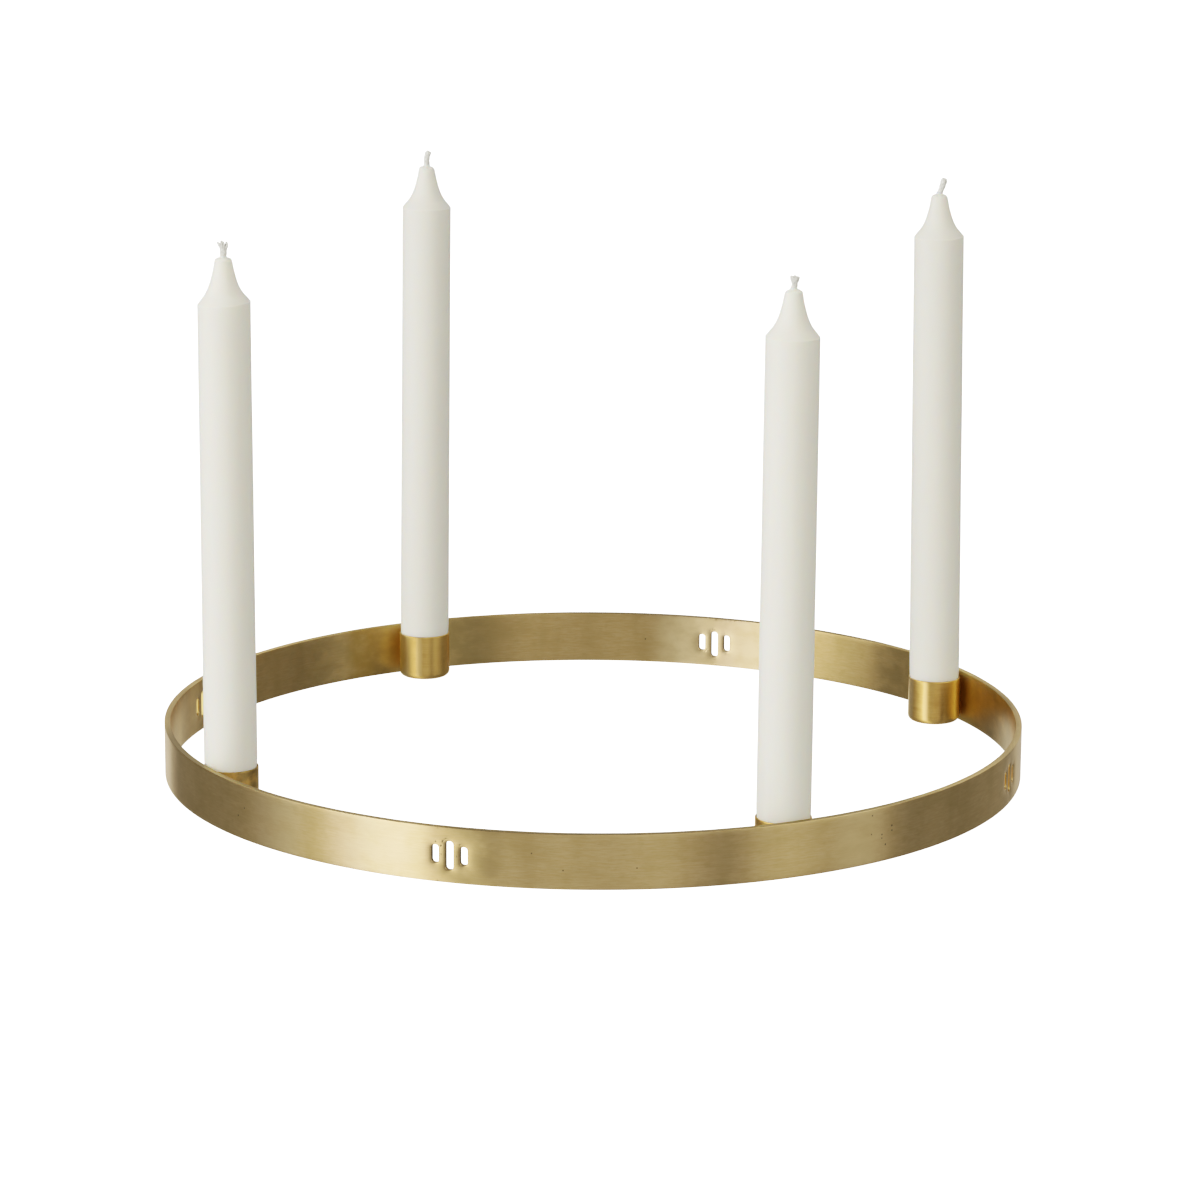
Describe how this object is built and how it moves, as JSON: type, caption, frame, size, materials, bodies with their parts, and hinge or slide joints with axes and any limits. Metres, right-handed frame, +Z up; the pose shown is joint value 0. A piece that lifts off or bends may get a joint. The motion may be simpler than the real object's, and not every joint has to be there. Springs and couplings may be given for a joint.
{
  "type": "ring candle holder",
  "caption": "Low brass band rolled into a ring and stood on edge, with slots through it and drawn cups brazed inside that hold upright white dinner candles.",
  "frame": {"origin": "centre of the ring, on the table surface that its lower edge stands on", "axes": "+Z up along the ring's axis; +X to the right and -Y to the front as the ring is seen in its usual view"},
  "size_m": [0.35, 0.35, 0.2327],
  "materials": {
    "band_brass": "brushed along the strip, light patina",
    "cup_brass": "fine turned brushing, warmer and cleaner than the band",
    "braze_metal": "dull filler metal, darkened",
    "candle_wax": "smooth warm white wax, slightly translucent",
    "wick_cotton": "waxed braided cotton, unburnt"
  },
  "bodies": {
    "holder": {"ring_band": "band_brass", "ring_seam_braze": "braze_metal", "cup_back_right": "cup_brass", "cup_back_left": "cup_brass", "cup_front_left": "cup_brass", "cup_front_right": "cup_brass", "braze_joint_back_right": "braze_metal", "braze_joint_back_left": "braze_metal", "braze_joint_front_left": "braze_metal", "braze_joint_front_right": "braze_metal"},
    "back_right_candle": {"candle_back_right": "candle_wax", "wick_back_right": "wick_cotton"},
    "back_left_candle": {"candle_back_left": "candle_wax", "wick_back_left": "wick_cotton"},
    "front_left_candle": {"candle_front_left": "candle_wax", "wick_front_left": "wick_cotton"},
    "front_right_candle": {"candle_front_right": "candle_wax", "wick_front_right": "wick_cotton"}
  },
  "joints": [
    {"name": "lift_back_right_candle", "type": "slide", "parent": "holder", "child": "back_right_candle", "axis": [-0.0117, 0, 0.9999], "range_m": [0, 0.03]},
    {"name": "lift_back_left_candle", "type": "slide", "parent": "holder", "child": "back_left_candle", "axis": [0.0077, 0, 1], "range_m": [0, 0.03]},
    {"name": "lift_front_left_candle", "type": "slide", "parent": "holder", "child": "front_left_candle", "axis": [-0.0017, 0, 1], "range_m": [0, 0.03]},
    {"name": "lift_front_right_candle", "type": "slide", "parent": "holder", "child": "front_right_candle", "axis": [0.0038, 0, 1], "range_m": [0, 0.03]}
  ]
}
